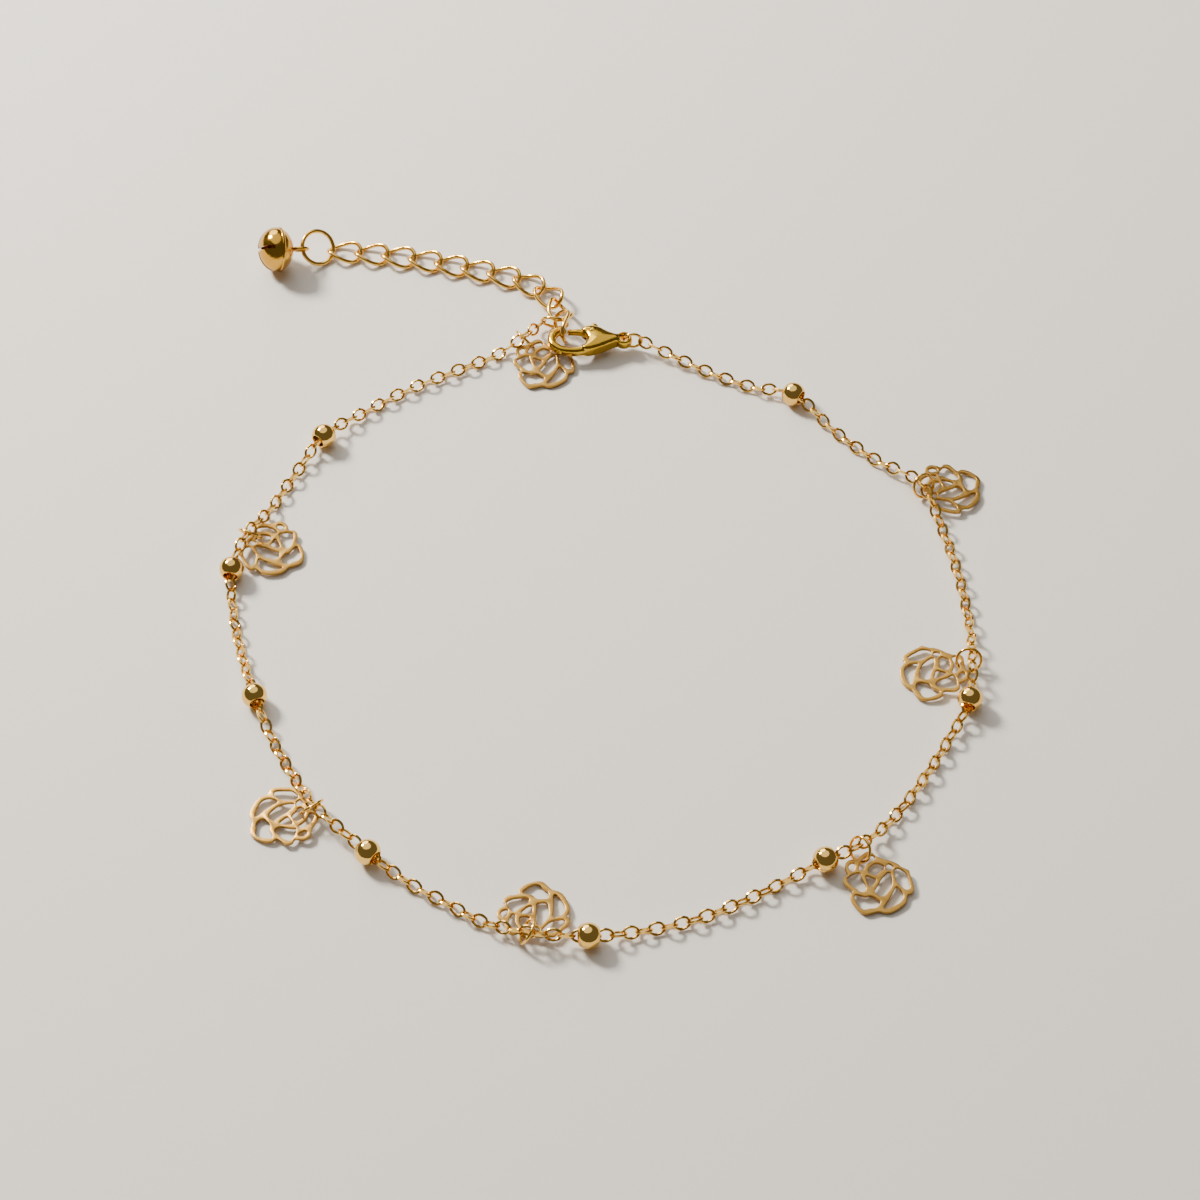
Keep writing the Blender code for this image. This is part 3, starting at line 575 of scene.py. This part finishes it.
ROSE_RADIUS = 3.6
ROSE_THICKNESS = 0.36
ROSE_EDGE = 0.06
ROSE_UNDERCUT = 0.10
TABLE_GAP = 0.01
# Where a rose hangs, in shares of its radius: the opening at its heart, or the long one at its rim.
ROSE_BY_HEART = (0.154, 0.559)
ROSE_BY_RIM = (0.53, 0.62)
HEART_TURN = 15.4
ROSE_LIES = (
    # the way from its middle to its ring (degrees), the opening that the ring is through, how far
    # that opening is turned from the ring (degrees), and whether the rose lies face down
    (111, ROSE_BY_RIM, 0, True),
    (147, ROSE_BY_HEART, HEART_TURN, False),
    (28, ROSE_BY_HEART, HEART_TURN, False),
    (257, ROSE_BY_HEART, HEART_TURN, False),
    (112, ROSE_BY_RIM, 0, True),
    (20, ROSE_BY_RIM, 0, False),
    (197, ROSE_BY_HEART, HEART_TURN, False),
)
ROSE_OUTLINE = (
    (0.44, 0.98), (0.58, 0.94), (0.69, 0.78), (0.80, 0.62), (0.87, 0.58), (0.97, 0.51), (1.03, 0.40),
    (1.03, 0.28), (0.97, 0.14), (0.89, 0.04), (0.96, -0.05), (0.95, -0.19), (0.86, -0.30),
    (0.74, -0.35), (0.61, -0.42), (0.64, -0.50), (0.60, -0.65), (0.49, -0.79), (0.34, -0.90),
    (0.19, -0.98), (0.02, -0.98), (-0.15, -0.88), (-0.28, -0.79), (-0.42, -0.78), (-0.57, -0.73),
    (-0.73, -0.59), (-0.86, -0.40), (-0.93, -0.23), (-0.91, -0.08), (-0.91, -0.00), (-0.99, 0.06),
    (-1.03, 0.17), (-0.98, 0.34), (-0.89, 0.50), (-0.79, 0.66), (-0.72, 0.77), (-0.60, 0.80),
    (-0.47, 0.82), (-0.35, 0.87), (-0.10, 0.89), (0.05, 0.88), (0.26, 0.90),
)
ROSE_OPENINGS = (
    ((0.38, 0.84), (0.46, 0.79), (0.55, 0.68), (0.60, 0.55), (0.60, 0.41), (0.57, 0.31), (0.52, 0.34),
     (0.50, 0.45), (0.47, 0.56), (0.39, 0.67), (0.31, 0.76), (0.32, 0.81)),
    ((0.80, 0.43), (0.86, 0.38), (0.87, 0.29), (0.82, 0.22), (0.76, 0.21), (0.75, 0.29), (0.76, 0.38)),
    ((0.56, 0.19), (0.66, 0.14), (0.75, 0.04), (0.81, -0.08), (0.73, -0.17), (0.63, -0.23),
     (0.49, -0.28), (0.36, -0.32), (0.29, -0.28), (0.29, -0.18), (0.36, -0.07), (0.46, 0.04),
     (0.52, 0.12)),
    ((-0.00, 0.63), (0.10, 0.65), (0.20, 0.64), (0.29, 0.53), (0.33, 0.43), (0.31, 0.33), (0.21, 0.30),
     (0.13, 0.31), (0.08, 0.40), (0.04, 0.49), (-0.01, 0.54)),
    ((0.34, 0.18), (0.29, 0.07), (0.22, -0.04), (0.15, -0.08), (0.12, 0.02), (0.10, 0.15),
     (0.22, 0.17)),
    ((-0.22, 0.49), (-0.14, 0.39), (-0.09, 0.24), (-0.06, 0.08), (-0.03, -0.09), (-0.01, -0.20),
     (-0.10, -0.25), (-0.20, -0.27), (-0.27, -0.20), (-0.33, -0.05), (-0.36, 0.11), (-0.33, 0.27),
     (-0.27, 0.42)),
    ((0.47, -0.50), (0.41, -0.62), (0.33, -0.72), (0.22, -0.81), (0.12, -0.81), (0.00, -0.73),
     (-0.12, -0.68), (-0.20, -0.57), (-0.19, -0.46), (-0.06, -0.41), (0.07, -0.39), (0.19, -0.47),
     (0.34, -0.48)),
    ((-0.53, 0.12), (-0.51, -0.03), (-0.48, -0.19), (-0.44, -0.37), (-0.39, -0.55), (-0.40, -0.60),
     (-0.50, -0.53), (-0.63, -0.40), (-0.74, -0.24), (-0.75, -0.10), (-0.69, 0.01), (-0.60, 0.09)),
    ((-0.40, 0.69), (-0.34, 0.63), (-0.41, 0.47), (-0.50, 0.31), (-0.64, 0.22), (-0.78, 0.17),
     (-0.85, 0.22), (-0.81, 0.33), (-0.72, 0.49), (-0.63, 0.62), (-0.49, 0.68)),
    ((-0.25, 0.69), (-0.13, 0.74), (-0.10, 0.66), (-0.13, 0.58), (-0.21, 0.60)),
)


def loop_through(corners, scale, steps=3):
    """A closed smooth outline through the corners, at a scale."""
    knots = [Vector((*corner, 0)) * scale for corner in corners]
    around = smooth_curve([knots[-1]] + knots + knots[:2], steps)
    return [point.xy for point in around[steps : steps * (len(knots) + 1)]]


def sheet_cut(name, outlines, thickness, edge, material, undercut=0.0):
    """Sheet metal cut to outlines (metres), with its edges rounded over.

    Etching takes an undercut more off every edge.
    """
    curve = bpy.data.curves.new(name, "CURVE")
    curve.dimensions = "2D"
    curve.fill_mode = "BOTH"
    curve.extrude = thickness / 2 - edge
    curve.bevel_depth = edge
    curve.bevel_resolution = 2
    curve.offset = -edge - undercut
    for outline in outlines:
        spline = curve.splines.new("POLY")
        spline.points.add(len(outline) - 1)
        spline.use_cyclic_u = True
        for point, (x, y) in zip(spline.points, outline):
            point.co = (x, y, 0, 1)
    obj = bpy.data.objects.new(name, curve)
    bpy.context.scene.collection.objects.link(obj)
    sheet = finished(obj, name, material, flat_above=50)
    bm = bmesh.new()
    bm.from_mesh(sheet.data)
    bmesh.ops.remove_doubles(bm, verts=bm.verts, dist=1e-7)
    bm.to_mesh(sheet.data)
    bm.free()
    return sheet


def hung_at(ring_node, radius, middle, normal):
    """Where a ring's wire passes through the plane of what hangs on it, on that thing's own side."""
    centre, (_, first, second) = lie_of(ring_node)
    across, along = radius * first.dot(normal), radius * second.dot(normal)
    base = math.atan2(along, across)
    swing = math.acos(-(centre - middle).dot(normal) / math.hypot(across, along))
    turns = (base - swing, base + swing)
    spots = [centre + (first * math.cos(t) + second * math.sin(t)) * radius for t in turns]
    return min(spots, key=lambda spot: (spot - middle).length)


# Satin plate: softer than the polished pieces and faintly grained, as tumbling stones leave it, so
# that it shows no clear reflection.
rose_gold = plated_gold(
    "satin_gold_plate", bright="#C9A154", deep="#AC7E38",
    roughness=0.32, wear_mm=3.0, grain_mm=0.12, grain_depth=0.10,
)

rose_outlines = [loop_through(corners, ROSE_RADIUS * MM) for corners in (ROSE_OUTLINE, *ROSE_OPENINGS)]
for number, (heading, hung_by, turned, face_down) in enumerate(ROSE_LIES, 1):
    node = f"rose_charm_{number}"
    ring_outer, ring_wire = RINGS[f"charm_ring_{number}"]
    middle, (normal, _, _) = lie_of(node)
    if normal.z < 0:
        normal = -normal
    towards_ring = Vector((math.cos(math.radians(heading)), math.sin(math.radians(heading)), 0))
    y_axis = (towards_ring - normal * towards_ring.dot(normal)).normalized()
    if face_down:
        normal = -normal
    turn = Matrix((y_axis.cross(normal), y_axis, normal)).transposed().to_4x4()
    in_plane = math.radians(90 - turned) - math.atan2(hung_by[1], hung_by[0])
    turn = turn @ Matrix.Rotation(in_plane, 4, "Z")
    hook_at = hung_at(f"charm_ring_{number}", (ring_outer - ring_wire) / 2 * MM, middle, normal)
    drawn_at = Vector((*hung_by, 0)) * ROSE_RADIUS * MM
    rose = sheet_cut(
        f"etched_rose_{number}", rose_outlines, ROSE_THICKNESS * MM, ROSE_EDGE * MM, rose_gold,
        undercut=ROSE_UNDERCUT * MM,
    )
    rose.data.transform(Matrix.Translation(hook_at - turn @ drawn_at) @ turn)
    lowest = min(vertex.co.z for vertex in rose.data.vertices)
    rose.data.transform(Matrix.Translation((0, 0, max(0.0, TABLE_GAP * MM - lowest))))
    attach(rose, "anklet")
    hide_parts(node)


# The lobster clasp
# One casting: a claw-shaped hook, a thicker back with a slot for the lever, and an eye. Its faces
# are domed, and tumbling has rounded every edge before it is plated and polished.

CLASP_AT = PHOTO_MIDDLE + Vector((-2.9, 36.4, 1.5)) * MM
CLASP_HOOK_T = 1.2
CLASP_BODY_T = 2.0
CLASP_EYE_AT = (5.6, 0.0)
CLASP_EYE_R = 0.95
CLASP_EYE_HOLE_R = 0.5
CLASP_PIVOT = (2.1, 0.9)
CLASP_SLOT_T = 0.9
CLASP_RIVET_HOLE_R = 0.36
CLASP_SKIN = 0.055
CLASP_SMOOTHING = 6
# Each dome: the share of the full height that is left at an edge, and the width of its shoulder.
HOOK_DOME = (0.3, 0.5)
BACK_DOME = (0.5, 1.2)
EYE_DOME = (0.35, 0.22)
HOOK_OUTLINE = (
    (-0.95, 1.2), (-0.95, 1.75), (-1.7, 1.85), (-2.4, 1.55), (-2.9, 0.95), (-3.12, 0.1),
    (-2.9, -0.9), (-2.2, -1.7), (-1.1, -2.15), (0.6, -2.2), (2.4, -1.6), (2.4, -0.3),
    (1.35, -0.55), (0.7, -1.15), (-0.3, -1.42), (-1.3, -1.22), (-1.95, -0.6), (-2.12, 0.1),
    (-1.85, 0.85), (-1.4, 1.15),
)
BACK_OUTLINE = (
    (0.75, 1.0), (1.3, 0.45), (1.5, -0.3), (1.2, -1.0), (0.7, -1.7), (1.4, -2.0), (2.6, -1.65),
    (3.8, -1.05), (4.7, -0.55), (5.3, -0.4), (5.3, 0.4), (4.7, 0.5), (3.7, 0.95), (2.9, 1.6),
    (1.9, 1.85), (0.95, 1.65),
)
SLOT_OUTLINE = (
    (-0.6, 0.2), (1.45, 0.2), (2.0, -0.15), (2.9, 0.1), (3.3, 0.7), (3.3, 3.0), (-0.6, 3.0),
)


def rounded(corners, rounds=2):
    """An outline's corners cut a quarter of the way along each side, again and again."""
    corners = [Vector(corner) for corner in corners]
    for _ in range(rounds):
        pairs = zip(corners, corners[1:] + corners[:1])
        corners = [point for a, b in pairs for point in (a.lerp(b, 0.25), a.lerp(b, 0.75))]
    return corners


def slab(name, outline, thickness, place=Vector()):
    """An outline in millimetres extruded both ways from the middle; a tool for cutting or joining."""
    bm = bmesh.new()
    low = [bm.verts.new((x * MM, y * MM, -thickness / 2 * MM)) for x, y in outline]
    high = [bm.verts.new((x * MM, y * MM, thickness / 2 * MM)) for x, y in outline]
    bm.faces.new(low)
    bm.faces.new(high)
    for i in range(len(low)):
        j = (i + 1) % len(low)
        bm.faces.new((low[i], low[j], high[j], high[i]))
    bmesh.ops.recalc_face_normals(bm, faces=bm.faces)
    mesh = bpy.data.meshes.new(name)
    bm.to_mesh(mesh)
    bm.free()
    mesh.transform(Matrix.Translation(place))
    obj = bpy.data.objects.new(name, mesh)
    bpy.context.scene.collection.objects.link(obj)
    return obj


def round_outline(centre, radius, sides=32):
    """A circle as points."""
    turns = [2 * math.pi * k / sides for k in range(sides)]
    return [(centre[0] + radius * math.cos(t), centre[1] + radius * math.sin(t)) for t in turns]


def joined(obj, others, operation):
    """Adds or cuts other objects with exact Booleans, then removes them."""
    for other in others:
        modifier = obj.modifiers.new(other.name, "BOOLEAN")
        modifier.operation = operation
        modifier.solver = "EXACT"
        modifier.object = other
    bpy.context.view_layer.update()
    graph = bpy.context.evaluated_depsgraph_get()
    mesh = bpy.data.meshes.new_from_object(obj.evaluated_get(graph))
    obj.modifiers.clear()
    obj.data = mesh
    for other in others:
        bpy.data.objects.remove(other)
    return obj


def even_skin(obj, face_size, passes=0):
    """Gives an object one closed skin of small even faces, and smooths it as tumbling does."""
    remesh = obj.modifiers.new("even_skin", "REMESH")
    remesh.mode = "VOXEL"
    remesh.voxel_size = face_size * MM
    smooth = obj.modifiers.new("tumble", "SMOOTH")
    smooth.factor = 0.5
    smooth.iterations = passes
    return joined(obj, (), "UNION")


def domed(obj, outlines, dome):
    """Domes a slab: a share of its height at its outlines, and all of it a shoulder's width in."""
    edge, shoulder = dome
    even_skin(obj, CLASP_SKIN)
    points = np.empty(len(obj.data.vertices) * 3)
    obj.data.vertices.foreach_get("co", points)
    points = points.reshape(-1, 3)
    inwards = np.full(len(points), 1.0)
    for outline in outlines:
        starts = np.array([tuple(point) for point in outline]) * MM
        sides = np.roll(starts, -1, axis=0) - starts
        away = points[:, None, :2] - starts
        along = np.clip((away * sides).sum(axis=2) / (sides**2).sum(axis=1), 0, 1)
        gaps = np.linalg.norm(away - along[:, :, None] * sides, axis=2).min(axis=1)
        inwards = np.minimum(inwards, gaps / (shoulder * MM))
    points[:, 2] *= edge + (1 - edge) * np.sqrt(1 - (1 - inwards) ** 2)
    obj.data.vertices.foreach_set("co", points.ravel())
    return obj


# Plate on a casting: polished, deeper in tone than the wire's, and a little uneven as castings are.
clasp_gold = plated_gold(
    "cast_gold_plate", bright="#D0AC3E", deep="#B58928",
    roughness=0.14, wear_mm=2.5, grain_mm=0.4, grain_depth=0.06,
)

eye_rim = round_outline(CLASP_EYE_AT, CLASP_EYE_R)
eye_hole = round_outline(CLASP_EYE_AT, CLASP_EYE_HOLE_R)
hook = domed(slab("hook", rounded(HOOK_OUTLINE), CLASP_HOOK_T), [rounded(HOOK_OUTLINE)], HOOK_DOME)
back = slab("back", rounded(BACK_OUTLINE), CLASP_BODY_T)
joined(back, (slab("eye_hole", eye_hole, 3 * CLASP_BODY_T),), "DIFFERENCE")
domed(back, [rounded(BACK_OUTLINE), eye_hole], BACK_DOME)
eye = slab("eye", eye_rim, CLASP_HOOK_T)
joined(eye, (slab("eye_hole", eye_hole, 3 * CLASP_BODY_T),), "DIFFERENCE")
domed(eye, [eye_rim, eye_hole], EYE_DOME)

whole = bmesh.new()
for part in (hook, back, eye):
    whole.from_mesh(part.data)
    bpy.data.objects.remove(part)
casting_mesh = bpy.data.meshes.new("cast_clasp")
whole.to_mesh(casting_mesh)
whole.free()
casting = bpy.data.objects.new("cast_clasp", casting_mesh)
bpy.context.scene.collection.objects.link(casting)
even_skin(casting, CLASP_SKIN, CLASP_SMOOTHING)
joined(
    casting,
    (
        slab("slot", SLOT_OUTLINE, CLASP_SLOT_T),
        slab("rivet_hole", round_outline(CLASP_PIVOT, CLASP_RIVET_HOLE_R), 3 * CLASP_BODY_T),
    ),
    "DIFFERENCE",
)
casting.data.transform(Matrix.Translation(CLASP_AT))
cast_clasp = finished(casting, "cast_clasp", clasp_gold, flat_above=50)
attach(cast_clasp, "anklet")
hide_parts("clasp_body")


# The clasp's lever
# A small stamped lever in the casting's slot. A spring inside holds its tip against the hook, and
# a thumb nub stands out at the back.

LEVER_T = 0.7
LEVER_EDGE = 0.12
LEVER_OUTLINE = (
    (-0.85, 0.95), (0.5, 1.0), (1.4, 0.55), (2.1, 0.2), (2.75, 0.55), (2.85, 1.2), (2.75, 1.9),
    (2.5, 2.35), (1.95, 2.45), (1.75, 2.0), (1.2, 1.55), (0.4, 1.5), (-0.8, 1.45),
)

lever_outlines = [
    [point * MM for point in rounded(LEVER_OUTLINE)],
    [Vector(point) * MM for point in round_outline(CLASP_PIVOT, CLASP_RIVET_HOLE_R)],
]
stamped_lever = sheet_cut("stamped_lever", lever_outlines, LEVER_T * MM, LEVER_EDGE * MM, clasp_gold)
stamped_lever.data.transform(Matrix.Translation(CLASP_AT))
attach(stamped_lever, "clasp_lever")
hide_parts("clasp_lever")


# The clasp's rivet
# A short brass pin through the casting and the lever, its two heads peened to low domes. The lever
# turns on it in a slightly larger hole.

RIVET_R = 0.30
RIVET_HEAD = 0.10
RIVET_SIDES = 32
RIVET_HEAD_TURNS = (0, 25, 50, 72, 90)

half_pin = CLASP_BODY_T / 2
turns = [math.radians(turn) for turn in RIVET_HEAD_TURNS]
dome = [(half_pin - RIVET_HEAD * (1 - math.cos(t)), RIVET_R * math.sin(t)) for t in turns]
pin_profile = dome + [(-x, r) for x, r in reversed(dome)]
pivot_at = CLASP_AT + Vector((*CLASP_PIVOT, 0)) * MM
upright = Matrix.Translation(pivot_at) @ Matrix.Rotation(math.radians(-90), 4, "Y")
peened_rivet = lathed("peened_rivet", pin_profile, RIVET_SIDES, clasp_gold, upright)
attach(peened_rivet, "anklet")
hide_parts("clasp_rivet")


# The extender
# Curb chain: twisted oval links of heavier round wire that lie flat in a row. The first is on edge
# in the clasp's hook, with the chain's end ring round its side.

EXTENDER_LINK_L = 4.30
EXTENDER_LINK_W = 3.2
EXTENDER_WIRE = 0.48
EXTENDER_TWIST = 0.46
EXTENDER_STEPS = 40
EXTENDER_NODES = [f"extender_link_{k:02d}" for k in range(1, 12)]


def shapes_on_points(material):
    """A node tree that puts one shape on each point, turned by the point's own attribute."""
    tree = bpy.data.node_groups.new("shapes_on_points", "GeometryNodeTree")
    face = tree.interface
    face.new_socket("Geometry", in_out="INPUT", socket_type="NodeSocketGeometry")
    face.new_socket("Shape", in_out="INPUT", socket_type="NodeSocketObject")
    face.new_socket("Geometry", in_out="OUTPUT", socket_type="NodeSocketGeometry")
    given = add_node(tree, "NodeGroupInput").outputs
    shape = add_node(tree, "GeometryNodeObjectInfo", [("Object", given["Shape"])])
    lie = add_node(tree, "GeometryNodeInputNamedAttribute", data_type="QUATERNION", Name="lie")
    turn = [socket for socket in lie.outputs if socket.type == "ROTATION"][0]
    laid = add_node(
        tree, "GeometryNodeInstanceOnPoints",
        [("Points", given["Geometry"]), ("Instance", shape.outputs["Geometry"]), ("Rotation", turn)],
    )
    real = add_node(tree, "GeometryNodeRealizeInstances", [("Geometry", laid.outputs["Instances"])])
    clad = add_node(tree, "GeometryNodeSetMaterial", [("Geometry", real.outputs["Geometry"])])
    clad.inputs["Material"].default_value = material
    add_node(tree, "NodeGroupOutput", [("Geometry", clad.outputs["Geometry"])])
    return tree


def right_handed(x_axis, y_axis):
    """The turn that takes X and Y to these two axes."""
    return Matrix((x_axis, y_axis, x_axis.cross(y_axis))).transposed().to_quaternion()


half_l = (EXTENDER_LINK_L - EXTENDER_WIRE) / 2
half_w = (EXTENDER_LINK_W - EXTENDER_WIRE) / 2
turns = [2 * math.pi * k / EXTENDER_STEPS for k in range(EXTENDER_STEPS)]
oval = [Vector((half_l * math.cos(t), half_w * math.sin(t), EXTENDER_TWIST * math.sin(2 * t))) for t in turns]
one_link = swept("one_curb_link", [spot * MM for spot in oval], EXTENDER_WIRE * MM, WIRE_SIDES, chain_gold)

link_points = bpy.data.meshes.new("link_points")
lies = [lie_of(node) for node in EXTENDER_NODES]
link_points.from_pydata([tuple(middle) for middle, _ in lies], [], [])
link_lies = link_points.attributes.new("lie", "QUATERNION", "POINT")
for item, (_, (_, across, along)) in zip(link_lies.data, lies):
    item.value = right_handed(along, across)
curb = bpy.data.objects.new("curb_points", link_points)
bpy.context.scene.collection.objects.link(curb)
with_tree(curb, shapes_on_points(chain_gold), {"Shape": one_link})
curb_extender = finished(curb, "curb_extender")
lowest = min(vertex.co.z for vertex in curb_extender.data.vertices)
curb_extender.data.transform(Matrix.Translation((0, 0, max(0.0, TABLE_GAP * MM - lowest))))
bpy.data.objects.remove(one_link)
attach(curb_extender, "anklet")
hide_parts(*EXTENDER_NODES)


# The bell
# Two thin pressed brass cups crimped together, which leaves the raised seam. A cross is slit into the
# far cup to let the sound out, and a wire loop is soldered to the near one.

BELL_D = 5.1
BELL_L = 4.1
BELL_WALL = 0.35
BELL_SEAM = 0.14
BELL_SEAM_AT = 0.55
BELL_SEAM_W = 0.4
BELL_SLIT = 0.42
BELL_SLIT_TO = -0.546
BELL_LOOP_R = 1.05
BELL_LOOP_WIRE = 0.42
BELL_STEPS = 24
BELL_SIDES = 64
BELL_LOOP_STEPS = 36
BELL_SEAM_ROOM = 1.2
BELL_SEAM_TURNS = (-90, -84, -60, -30, 0, 30, 60, 84, 90)


def hollow_profile():
    """The bell's inside: a plain bowl and lid as (x, radius)."""
    half, radius = BELL_L / 2 - BELL_WALL, BELL_D / 2 - BELL_WALL
    turns = [math.pi * k / BELL_STEPS for k in range(1, BELL_STEPS)]
    return [(-half, 0.0), *[(-half * math.cos(t), radius * math.sin(t)) for t in turns], (half, 0.0)]


def surface_middle(mesh):
    """The area-weighted middle of a mesh's surface."""
    total = sum(polygon.area for polygon in mesh.polygons)
    return sum((polygon.center * polygon.area for polygon in mesh.polygons), Vector()) / total


def seamed_cup_profile():
    """The bell's outside: more points where the seam stands out."""
    xs = set(np.round(-BELL_L / 2 * np.cos(np.linspace(0, math.pi, BELL_STEPS + 1)), 5))
    half_w = BELL_SEAM_W / 2
    seam_xs = [BELL_SEAM_AT + half_w * math.sin(math.radians(turn)) for turn in BELL_SEAM_TURNS]
    xs = sorted([x for x in xs if abs(x - BELL_SEAM_AT) > half_w * BELL_SEAM_ROOM] + seam_xs)
    profile = []
    for x in xs:
        share = min(1.0, abs(x) / (BELL_L / 2))
        r = BELL_D / 2 * math.sqrt(max(0.0, 1 - share**2))
        rise = max(0.0, 1 - ((x - BELL_SEAM_AT) / half_w) ** 2)
        profile.append((x, 0.0 if r < 1e-4 else r + BELL_SEAM * math.sqrt(rise)))
    return profile


# Plate on pressed cups: bright and smooth, with clear reflections. Its colour is deeper than the wire's,
# partly the pressed plate's own tone and partly painted shade, darkened because the bell lies out of the
# light.
bell_gold_and_painted_shade = plated_gold(
    "pressed_gold_plate_and_painted_shade", bright="#D8AA44", deep="#B88430",
    roughness=0.14, wear_mm=3.0, grain_mm=0.6, grain_depth=0.05,
)

bell_middle, bell_axes = lie_of("bell")
ring_middle, (ring_normal, _, _) = lie_of("bell_ring")
bell_axis = max(bell_axes, key=lambda axis: abs(axis.dot((ring_middle - bell_middle).normalized())))
if bell_axis.dot(ring_middle - bell_middle) < 0:
    bell_axis = -bell_axis

bell = lathed("pressed_bell", seamed_cup_profile(), BELL_SIDES, bell_gold_and_painted_shade)
hollow = lathed("hollow", hollow_profile(), BELL_SIDES, bell_gold_and_painted_shade)
loop_x = BELL_L / 2 + BELL_LOOP_R - BELL_LOOP_WIRE / 2
turns = [2 * math.pi * k / BELL_LOOP_STEPS for k in range(BELL_LOOP_STEPS)]
loop_r = BELL_LOOP_R - BELL_LOOP_WIRE / 2
loop_path = [Vector((loop_x + loop_r * math.cos(t), loop_r * math.sin(t), 0)) * MM for t in turns]
loop = swept("loop", loop_path, BELL_LOOP_WIRE * MM, WIRE_SIDES, bell_gold_and_painted_shade)
slit_outline = [
    (-BELL_L, -BELL_D), (BELL_SLIT_TO, -BELL_D), (BELL_SLIT_TO, BELL_D), (-BELL_L, BELL_D),
]
slits = [slab(f"slit_{k}", slit_outline, BELL_SLIT) for k in range(2)]
slits[1].data.transform(Matrix.Rotation(math.radians(90), 4, "X"))
joined(bell, (hollow,), "DIFFERENCE")
joined(bell, (loop,), "UNION")
joined(bell, slits, "DIFFERENCE")

on_ring = (bell_middle - ring_middle) - ring_normal * (bell_middle - ring_middle).dot(ring_normal)
tangent = ring_normal.cross(on_ring.normalized())
hole_axis = (tangent - bell_axis * tangent.dot(bell_axis)).normalized()
bell_turn = Matrix((bell_axis, hole_axis.cross(bell_axis), hole_axis)).transposed().to_4x4()
bell_place = Matrix.Translation(bell_middle - bell_turn @ surface_middle(bell.data)) @ bell_turn
bell.data.transform(bell_place)
pressed_bell = finished(bell, "pressed_bell", bell_gold_and_painted_shade, flat_above=40)
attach(pressed_bell, "anklet")
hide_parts("bell")
